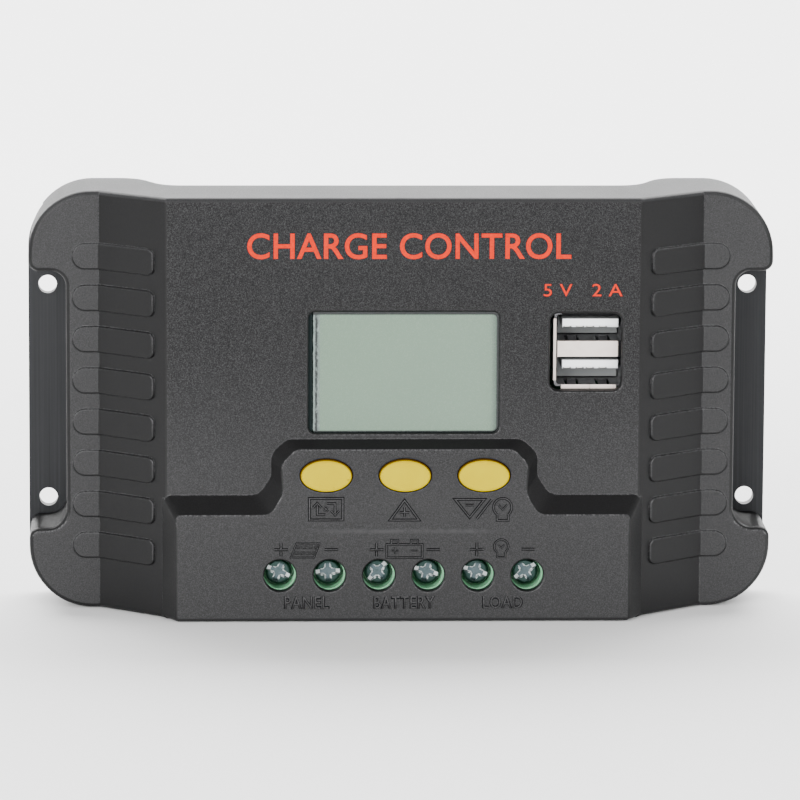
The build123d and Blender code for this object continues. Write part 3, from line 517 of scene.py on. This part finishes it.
def make_lcd():
    """Reflective display: grey-green field under glass, bare strips at the left edge."""
    mat = Mat("reflective_lcd_glass")
    x, _, z = mat.position.split()
    broad = mat.noise(scale=60.0, detail=3.0)
    fine = mat.noise(scale=4200.0)
    lower, upper, right_side = (0.108, 0.165, 0.118), (0.104, 0.160, 0.112), (0.118, 0.174, 0.128)
    mottle, fleck = (0.100, 0.150, 0.110), (0.088, 0.130, 0.096)
    color = mat.mix(z.remap(span=(-0.004, 0.020)), lower, upper)
    color = mat.mix(x.remap(span=(-0.012, 0.014), to=(0.0, 0.6)), color, right_side)
    color = mat.mix(broad.remap(span=(0.35, 0.7), to=(0.0, 0.3)), color, mottle)
    color = mat.mix(fine.remap(span=(0.45, 0.75), to=(0.0, 0.16)), color, fleck)

    # the window opening as the camera sees it on the glass
    plane_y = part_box("lcd_glass")[0][1]
    left, bottom = behind(-18.2, -29.55, -3.85, plane_y)
    right, top = behind(18.4, -29.55, 19.7, plane_y)

    # strips of bare glass and frame, by distance in mm from the left edge
    inset = (x - left) * 1000.0
    waver = mat.noise(detail=3.0, rough=0.6, at=mat.stretched((300, 300, 1500)))
    inset = inset + waver.remap(span=(0.3, 0.7), to=(-0.07, 0.07))
    chips = mat.noise(detail=3.0, rough=0.7, at=mat.stretched((1500, 1500, 900))).remap(
        span=(0.50, 0.66))
    teal, glass, black = (0.003, 0.012, 0.011), (0.11, 0.14, 0.13), (0.004, 0.008, 0.008)
    strip = (inset * 0.4).ramp([
        (0.0, teal), (0.365, teal), (0.395, glass), (0.51, glass), (0.545, black), (0.68, black),
        (0.72, (0.085, 0.11, 0.10)), (0.86, (0.10, 0.13, 0.12))])
    strip = mat.mix(chips * 0.5, strip, (0.20, 0.24, 0.23))
    color = mat.mix(inset.remap(span=(2.16, 2.26), to=(1.0, 0.0)), color, strip)

    # shade on the glass along the right edge and all round the rounded window
    color = mat.mix(x.remap(span=(right - 0.0019, right - 0.0003), to=(0.0, 0.6), smooth=True),
                    color, (0.04, 0.06, 0.055))
    corner = 0.0013
    over_x = (abs(x - (left + right) / 2) - ((right - left) / 2 - corner)).max(0.0)
    over_z = (abs(z - (bottom + top) / 2) - ((top - bottom) / 2 - corner)).max(0.0)
    reach = (over_x * over_x + over_z * over_z).sqrt()
    color = mat.mix(reach.remap(span=(corner - 0.00062, corner - 0.00042)),
                    color, (0.003, 0.006, 0.006))
    mat.set(color=color, rough=fine.remap(span=(0.3, 0.7), to=(0.22, 0.3)), spec=0.3,
            coat=0.35, coat_rough=0.06)
    mat.bump(broad, strength=0.03, distance=0.0002)
    return mat.material


def make_board():
    """Solder mask over glass weave, with copper tracks showing as lighter lanes."""
    mat = Mat("green_board")
    weave = mat.node("ShaderNodeTexBrick")
    for key, value in (
            ("Scale", 420.0), ("Mortar Size", 0.03), ("Color1", (0.010, 0.115, 0.05)),
            ("Color2", (0.014, 0.15, 0.065)), ("Mortar", (0.006, 0.07, 0.03)),
            ("Vector", mat.stretched((1, 1, 1), rotation=(math.pi / 2, 0, 0)))):
        mat.feed(weave.inputs[key], value)
    cells = mat.node("ShaderNodeTexVoronoi", distance="MANHATTAN", feature="F1")
    mat.feed(cells.inputs["Scale"], 210.0)
    mat.feed(cells.inputs["Vector"], mat.stretched((1, 0.0, 1)))
    lane = Value(mat, cells.outputs["Distance"]).ramp(
        [(0.0, 1.0), (0.32, 1.0), (0.36, 0.0), (1.0, 0.0)])
    color = mat.mix(lane * 0.55, Value(mat, weave.outputs["Color"]), (0.03, 0.26, 0.11))
    rough = mat.noise(scale=900.0, detail=3.0).remap(span=(0.2, 0.8), to=(0.24, 0.36))
    mat.set(color=color, rough=rough, coat=0.3, coat_rough=0.15)
    mat.bump(lane, strength=0.2, distance=0.00004)
    return mat.material


def make_ink():
    """Orange-red pad-printed ink that has taken the grain of the plastic."""
    mat = Mat("orange_red_ink")
    ink = (0.50, 0.024, 0.008)
    fine = mat.noise(scale=2600.0, detail=3.0, rough=0.65)
    gaps = mat.noise(scale=1900.0, rough=0.6).ramp([(0.0, 1.0), (0.33, 0.0), (1.0, 0.0)])
    color = mat.mix(fine.remap(span=(0.25, 0.75)), scaled(ink, 0.78), scaled(ink, 1.12))
    color = mat.mix(gaps * 0.45, color, scaled(ink, 0.4))
    mat.set(color=color, rough=fine.remap(span=(0.2, 0.8), to=(0.5, 0.66)), spec=0.0)
    mat.bump(fine, strength=0.4, distance=0.00005)
    return mat.material


MATERIALS = {
    "shell": make_shell(),
    "frame": make_plastic("satin_dark_frame", (0.004, 0.009, 0.009), rough=0.4,
                          grain=1500.0, bump=0.1, spec=0.08),
    "anodised": make_anodised(),
    "zinc": make_metal("zinc_plated_steel", (0.34, 0.35, 0.37)),
    "cage": make_metal("plated_clamp_cage", (0.66, 0.65, 0.62)),
    "brass": make_metal("turned_brass", (0.80, 0.60, 0.27)),
    "tin": make_metal("tinned_brass", (0.72, 0.71, 0.68), rough=0.36),
    "gold": make_metal("plated_contact", (0.80, 0.68, 0.42), rough=0.25),
    "board": make_board(),
    "green": make_terminal_nylon(),
    "white": make_insulator(),
    "reflector": make_plastic("reflector_film", (0.72, 0.75, 0.70), rough=0.5,
                              grain=1600.0, bump=0.1, variation=0.04),
    "lcd": make_lcd(),
    "switch": make_plastic("switch_moulding", (0.03, 0.03, 0.03), rough=0.45),
    "epoxy": make_plastic("chip_epoxy", (0.028, 0.028, 0.03), rough=0.55,
                          grain=1800.0, bump=0.3),
    "silicone": make_plastic("grey_silicone_pad", (0.30, 0.32, 0.34), rough=0.75,
                             grain=800.0, bump=0.4),
    "can": make_metal("drawn_can", (0.74, 0.74, 0.75), rough=0.25),
    "ferrite": make_plastic("sintered_ferrite", (0.07, 0.07, 0.072), rough=0.6,
                            grain=1500.0, bump=0.5),
    "ink": make_ink(),
    # darker copy of the shell plastic for the sides of raised marks and letters: painted shade
    "mark_side_shade": make_plastic("mark_side_shade", (0.004, 0.004, 0.0045), rough=0.5,
                              grain=2600.0, bump=0.1, spec=0.04),
    "usb_shell": make_usb_shell(),
}
# CAD pieces that wear each material
PIECES = {
    "shell": "front_shell",
    "anodised": "heat_sink_base",
    "zinc": "case_screws pcb_screws display_screws",
    "board": "main_pcb display_pcb",
    "brass": "pcb_spacers",
    "epoxy": "power_mosfets display_header mcu_ic regulator_ic schottky_diodes chip_resistors",
    "silicone": "thermal_pad",
    "green": "terminal_housing",
    "tin": "terminal_pins usb_contacts usb_solder_legs lcd_pins",
    "usb_shell": "usb_shell",
    "white": "usb_insulator",
    "gold": "display_header_pins",
    "frame": "lcd_frame",
    "reflector": "lcd_backlight",
    "lcd": "lcd_glass",
    "switch": "switch_bodies switch_plunger_left switch_plunger_middle switch_plunger_right",
    "can": "capacitor_large capacitor_small",
    "ferrite": "inductor",
    "cage": " ".join(f"clamp_cage_{i}" for i in range(1, 7)),
}
PIECE_MATERIAL = {piece: MATERIALS[key] for key, row in PIECES.items() for piece in row.split()}
SLOT_ANGLES = (-23.0, 3.0, 46.0, -16.0, -17.0, 35.0)    # degrees, screws 1 to 6


def box_center(piece):
    low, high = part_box(piece)
    return (low[0] + high[0]) / 2, (low[2] + high[2]) / 2


for i, slot_angle in enumerate(SLOT_ANGLES, 1):
    screw = f"terminal_screw_{i}"
    PIECE_MATERIAL[screw] = make_screw(f"screw_head_{i}", *box_center(screw), slot_angle)
for side in ("left", "middle", "right"):
    cap = f"button_cap_{side}"
    PIECE_MATERIAL[cap] = make_yellow(f"yellow_cap_{side}", box_center(cap)[0])


# ---------------------------------------------------------------- smooth shading of CAD meshes

def make_shade_group():
    """Geometry nodes: merge split vertices, then keep edges of 18 degrees or more sharp."""
    group = bpy.data.node_groups.new("weld_and_shade", "GeometryNodeTree")
    for direction in ("INPUT", "OUTPUT"):
        group.interface.new_socket("Geometry", in_out=direction,
                                   socket_type="NodeSocketGeometry")
    new = group.nodes.new
    source, result = new("NodeGroupInput"), new("NodeGroupOutput")
    weld = new("GeometryNodeMergeByDistance")
    weld.inputs["Distance"].default_value = 2e-6
    smooth_faces = new("GeometryNodeSetShadeSmooth")
    smooth_faces.domain = "FACE"
    smooth_edges = new("GeometryNodeSetShadeSmooth")
    smooth_edges.domain = "EDGE"
    angle = new("GeometryNodeInputMeshEdgeAngle")
    flat_enough = new("FunctionNodeCompare")
    flat_enough.data_type = "FLOAT"
    flat_enough.operation = "LESS_THAN"
    flat_enough.inputs[1].default_value = math.radians(18)
    for output, socket in (
            (source.outputs[0], weld.inputs["Geometry"]),
            (weld.outputs["Geometry"], smooth_faces.inputs["Geometry"]),
            (smooth_faces.outputs["Geometry"], smooth_edges.inputs["Geometry"]),
            (angle.outputs["Unsigned Angle"], flat_enough.inputs[0]),
            (flat_enough.outputs["Result"], smooth_edges.inputs["Shade Smooth"]),
            (smooth_edges.outputs["Geometry"], result.inputs[0])):
        group.links.new(output, socket)
    return group


def dress(piece, ob, shade_group):
    """Gives a CAD piece its material and smooth shading."""
    mesh = ob.data
    mesh.materials.clear()
    mesh.materials.append(PIECE_MATERIAL[piece])
    if "custom_normal" in mesh.attributes:
        mesh.attributes.remove(mesh.attributes["custom_normal"])
    for face in mesh.polygons:
        face.use_smooth = True
    ob.modifiers.new("shade", "NODES").node_group = shade_group
    weighted = ob.modifiers.new("weighted", "WEIGHTED_NORMAL")
    weighted.mode = "FACE_AREA"
    weighted.weight = 60
    weighted.keep_sharp = True


shade_group = make_shade_group()
for piece, ob in NODES.items():
    dress(piece, ob, shade_group)

# ---------------------------------------------------------------- raised marks (mm)
# The terrace is the front face below the buttons; it leans back above BEND_Z.

PLATEAU_DEPTH, TERRACE_DEPTH = 29.8, 33.6    # distance in front of y = 0
BEND_Z = -23.0
TERRACE_SLOPE = 1.2 / 16.2
MARK_HEIGHT, MARK_SINK = 0.2, 0.06


def plateau(z):
    return PLATEAU_DEPTH


def terrace(z):
    return TERRACE_DEPTH - (TERRACE_SLOPE * (z - BEND_Z) if z > BEND_Z else 0.0)


def ribbon(bm, points, closed, width):
    """A raised band with chamfered shoulders along (x, z) points on the terrace."""
    count = len(points)
    path = [Vector(point) for point in points]
    half, chamfer = width / 2, min(0.17, width * 0.3)
    # (sideways offset, height) round the section
    section = ((-half, -MARK_SINK), (-half, MARK_HEIGHT * 0.2), (-half + chamfer, MARK_HEIGHT),
               (half - chamfer, MARK_HEIGHT), (half, MARK_HEIGHT * 0.2), (half, -MARK_SINK))
    rows = []
    for i, here in enumerate(path):
        if closed:
            arriving = (here - path[i - 1]).normalized()
            leaving = (path[(i + 1) % count] - here).normalized()
        else:
            arriving = (here - path[i - 1] if i else path[1] - path[0]).normalized()
            leaving = (path[i + 1] - here).normalized() if i < count - 1 else arriving
        tangent = arriving + leaving
        if tangent.length < 1e-6:
            tangent = arriving
        tangent.normalize()
        side = Vector((-tangent.y, tangent.x))
        miter = 1.0 / max(0.35, side.dot(Vector((-arriving.y, arriving.x))))
        row = []
        for offset, height in section:
            spot = here + side * offset * miter
            row.append(bm.verts.new(
                (spot.x * MM, -(terrace(here.y) + height) * MM, spot.y * MM)))
        rows.append(row)
    size = len(section)
    for i in range(count if closed else count - 1):
        start, end = rows[i], rows[(i + 1) % count]
        for j in range(size):
            after = (j + 1) % size
            # the top takes the shell material; sides and buried faces take the darker mark
            # material, painted shade
            face = bm.faces.new((start[j], end[j], end[after], start[after]))
            face.material_index = 0 if j == 2 else 1    # only the top has the shell's grain
    if not closed:
        for cap in (rows[0], rows[-1][::-1]):
            bm.faces.new(cap).material_index = 1


def mark(name, strokes):
    """One raised pictogram from (points, closed, width) strokes."""
    bm = bmesh.new()
    for stroke in strokes:
        ribbon(bm, *stroke)
    bmesh.ops.recalc_face_normals(bm, faces=bm.faces)
    mesh = mesh_from(bm, name)
    mesh.materials.append(MATERIALS["shell"])
    mesh.materials.append(MATERIALS["mark_side_shade"])
    ob = link_object(name, mesh)
    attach(ob, "case")


def line(width, *points):
    return points, False, width


def loop(width, *points):
    return points, True, width


def arc(width, x, z, radius, start, end, steps):
    angles = [math.radians(start + (end - start) * i / steps) for i in range(steps + 1)]
    return line(width, *[(x + radius * math.cos(a), z + radius * math.sin(a)) for a in angles])


def minus(x, z, arm=1.25, width=0.56):
    return [line(width, (x - arm, z), (x + arm, z))]


def plus(x, z, arm=1.3, width=0.56):
    return minus(x, z, arm, width) + [line(width, (x, z - arm), (x, z + arm))]


def panel_cells():
    """Two rows of four slanted cells; the lower row is shifted left."""
    cells = []
    for row in range(2):
        z = -25.3 - row * 1.15
        for column in range(4):
            x = -20.05 + column * 1.12 - row * 0.45
            cells.append(loop(0.14, (x - 0.36, z - 0.24), (x + 0.30, z - 0.24),
                              (x + 0.44, z + 0.24), (x - 0.22, z + 0.24)))
    return cells


def battery_post(left):
    right, foot, top = left + 1.3, -24.75, -23.9
    return line(0.4, (left, foot), (left, top), (right, top), (right, foot))


# below the buttons: swap arrows in a frame
mark("mark_swap", [
    loop(0.55, (-18.0, -20.0), (-11.6, -20.0), (-11.6, -15.85), (-18.0, -15.85)),
    line(0.5, (-14.95, -19.0), (-16.5, -19.0), (-16.5, -17.1)),
    line(0.48, (-17.3, -17.65), (-16.5, -16.75), (-15.7, -17.65)),
    line(0.5, (-14.65, -16.85), (-13.1, -16.85), (-13.1, -18.75)),
    line(0.48, (-13.9, -18.2), (-13.1, -19.1), (-12.3, -18.2)),
    line(0.36, (-15.2, -17.5), (-14.4, -18.35)),
    line(0.36, (-14.4, -17.5), (-15.2, -18.35)),
])
# up triangle with a plus
mark("mark_up", [
    loop(0.55, (0.24, -16.3), (3.0, -20.05), (-2.52, -20.05)),
    line(0.5, (0.24, -17.6), (0.24, -19.4)),
    line(0.5, (-0.7, -18.6), (1.18, -18.6)),
])
# down triangle with a minus, then a slanted stroke and a lamp
mark("mark_down", [
    loop(0.55, (12.73, -19.6), (9.92, -16.1), (15.55, -16.1)),
    line(0.5, (11.9, -17.2), (13.6, -17.2)),
    line(0.55, (16.95, -16.15), (14.1, -19.85)),
])
mark("mark_lamp_top", [
    arc(0.5, 19.06, -17.65, radius=1.75, start=-52, end=232, steps=30),
    line(0.48, (18.0, -19.05), (18.0, -20.15), (20.15, -20.15), (20.15, -19.05)),
    line(0.38, (18.2, -17.1), (19.06, -18.1), (19.92, -17.1)),
])
# above the terminals: panel, battery and lamp, each between a plus and a minus
mark("mark_panel", plus(-23.44, -25.75) + minus(-13.85, -25.75) + [
    loop(0.36, (-21.55, -27.3), (-17.1, -27.3), (-16.1, -24.55), (-20.5, -24.55)),
] + panel_cells())
mark("mark_battery", plus(-5.12, -25.8) + minus(5.76, -25.8) + [
    loop(0.46, (-3.15, -27.35), (3.65, -27.35), (3.65, -24.75), (-3.15, -24.75)),
    battery_post(-2.3),
    battery_post(1.5),
] + plus(-1.55, -26.0, arm=0.65, width=0.36) + minus(2.15, -26.0, arm=0.65, width=0.36))
mark("mark_lamp", plus(14.14, -25.75) + minus(23.98, -25.75) + [
    arc(0.42, 18.83, -25.2, radius=1.35, start=-50, end=230, steps=26),
    line(0.4, (18.05, -26.3), (18.05, -27.3), (19.6, -27.3), (19.6, -26.3)),
    line(0.3, (18.3, -24.9), (18.83, -25.5), (19.36, -24.9)),
])


# ---------------------------------------------------------------- lettering (mm)

def lettering(name, body, left, right, base_z, height, surface, material, thick,
              spacing=1.05, bold=0.0, slot=None):
    """Text as solid geometry on a surface, fitted between two x positions."""
    curve = bpy.data.curves.new(name + "_c", "FONT")
    curve.body = body
    curve.size = 1.0
    curve.space_character = spacing
    curve.offset = bold
    curve.resolution_u = 6
    curve.extrude = 0.5
    source = link_object(name + "_t", curve)
    bpy.context.view_layer.update()
    depsgraph = bpy.context.evaluated_depsgraph_get()
    mesh = bpy.data.meshes.new_from_object(source.evaluated_get(depsgraph))
    bpy.data.objects.remove(source)
    xs = [vert.co.x for vert in mesh.vertices]
    ys = [vert.co.y for vert in mesh.vertices]
    min_x, min_y = min(xs), min(ys)
    scale_x = (right - left) / (max(xs) - min_x)
    scale_z = height / (max(ys) - min_y)
    for vert in mesh.vertices:
        x = left + (vert.co.x - min_x) * scale_x
        z = base_z + (vert.co.y - min_y) * scale_z
        depth = surface(z) + thick * vert.co.z
        vert.co = Vector((x * MM, -depth * MM, z * MM))
    bm = bmesh.new()
    bm.from_mesh(mesh)
    bmesh.ops.remove_doubles(bm, verts=bm.verts, dist=1e-7)
    bmesh.ops.recalc_face_normals(bm, faces=bm.faces)
    bm.to_mesh(mesh)
    bm.free()
    mesh.materials.clear()
    mesh.materials.append(MATERIALS[material])
    ob = link_object(name, mesh)
    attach(ob, "case")


lettering("print_title", "CHARGE CONTROL", left=-29.9, right=32.0, base_z=29.95, height=5.0,
          surface=plateau, material="ink", thick=0.05, bold=0.012)
lettering("print_rating", "5 V   2 A", left=26.8, right=41.9, base_z=22.75, height=2.4,
          surface=plateau, material="ink", thick=0.05)

# raised terminal names, each over a flatter, bolder dark outline that paints the shade of the
# letters' sides
LABEL = dict(base_z=-37.35, height=2.45, surface=terrace, spacing=1.12, slot="black_abs")
OUTLINE_MARGIN = 0.17
for word, left, right in (("PANEL", -22.7, -14.3), ("BATTERY", -5.5, 6.0), ("LOAD", 15.4, 22.9)):
    lettering("outline_" + word.lower(), word, left - OUTLINE_MARGIN, right + OUTLINE_MARGIN,
              material="mark_side_shade", thick=0.16, bold=0.04, **LABEL)
    lettering("label_" + word.lower(), word, left, right,
              material="shell", thick=0.42, **LABEL)


# ---------------------------------------------------------------- stage (metres)

def make_floor():
    """Floor just below the product, curving up into a back wall."""
    floor_z = CAD_BOX[0][2] - 0.0002
    front_y, bend_y, bend_radius, bend_steps = -3.0, 0.55, 0.7, 16
    wall_top, half_width = 4.0, 4.0
    profile = [(front_y, floor_z), (bend_y, floor_z)]
    for i in range(1, bend_steps + 1):
        angle = math.radians(90 * i / bend_steps)
        profile.append((bend_y + bend_radius * math.sin(angle),
                        floor_z + bend_radius * (1 - math.cos(angle))))
    profile.append((bend_y + bend_radius, wall_top))
    bm = bmesh.new()
    left, right = [[bm.verts.new((x, y, z)) for y, z in profile]
                   for x in (-half_width, half_width)]
    for i in range(len(profile) - 1):
        bm.faces.new((left[i], right[i], right[i + 1], left[i + 1]))
    mesh = mesh_from(bm, "floor")
    for face in mesh.polygons:
        face.use_smooth = True
    mat = Mat("pale_floor")
    patches = mat.noise(scale=3.0, detail=3.0).remap(span=(0.3, 0.7))
    mat.set(color=mat.mix(patches, (0.86, 0.86, 0.86), (0.89, 0.89, 0.89)),
            rough=0.75, spec=0.2)
    mesh.materials.append(mat.material)
    link_object("floor", mesh)


def make_world():
    """Grey surround, bright at the horizon and dimmer overhead."""
    world = bpy.data.worlds.new("studio")
    world.use_nodes = True
    tree = world.node_tree
    background = tree.nodes["Background"]
    background.inputs["Strength"].default_value = 1.0
    coords = tree.nodes.new("ShaderNodeTexCoord")
    axes = tree.nodes.new("ShaderNodeSeparateXYZ")
    tree.links.new(coords.outputs["Generated"], axes.inputs[0])
    fade = tree.nodes.new("ShaderNodeMapRange")
    fade.interpolation_type = "SMOOTHSTEP"
    for key, value in (("From Min", 0.05), ("From Max", 0.75), ("To Min", 1.6), ("To Max", 0.34)):
        fade.inputs[key].default_value = value
    tree.links.new(axes.outputs["Z"], fade.inputs["Value"])
    grey = tree.nodes.new("ShaderNodeCombineColor")
    for channel in ("Red", "Green", "Blue"):
        tree.links.new(fade.outputs["Result"], grey.inputs[channel])
    tree.links.new(grey.outputs[0], background.inputs["Color"])
    bpy.context.scene.world = world


def area_light(name, place, size, power, target=(0, 0, 0)):
    light = bpy.data.lights.new(name, "AREA")
    light.shape = "RECTANGLE"
    light.size, light.size_y = size
    light.energy = power
    ob = link_object(name, light)
    ob.location = place
    aim = Vector(target) - Vector(place)
    ob.rotation_euler = aim.to_track_quat("-Z", "Y").to_euler()


def make_camera():
    level_right = (-CAMERA_BACK).cross(Vector((0, 0, 1))).normalized()
    level_up = level_right.cross(-CAMERA_BACK)
    right = level_right * math.cos(CAMERA_ROLL) + level_up * math.sin(CAMERA_ROLL)
    up = -level_right * math.sin(CAMERA_ROLL) + level_up * math.cos(CAMERA_ROLL)
    camera = bpy.data.cameras.new("camera")
    camera.lens = LENS
    camera.sensor_width = SENSOR_WIDTH
    camera.clip_start = 0.05
    camera.clip_end = 20.0
    ob = link_object("camera", camera)
    rows = zip(right, up, CAMERA_BACK, CAMERA_PLACE)
    ob.matrix_world = Matrix((*rows, (0, 0, 0, 1)))
    bpy.context.scene.camera = ob


make_floor()
make_world()
area_light("key", place=(-0.62, -1.10, 0.34), size=(0.7, 0.6), power=25.0)
area_light("fill", place=(0.80, -0.95, 0.30), size=(0.6, 0.5), power=12.0)
area_light("back", place=(0.0, 0.90, 0.90), size=(2.0, 1.1), power=85.0,
           target=(0, -0.1, -0.04))
make_camera()
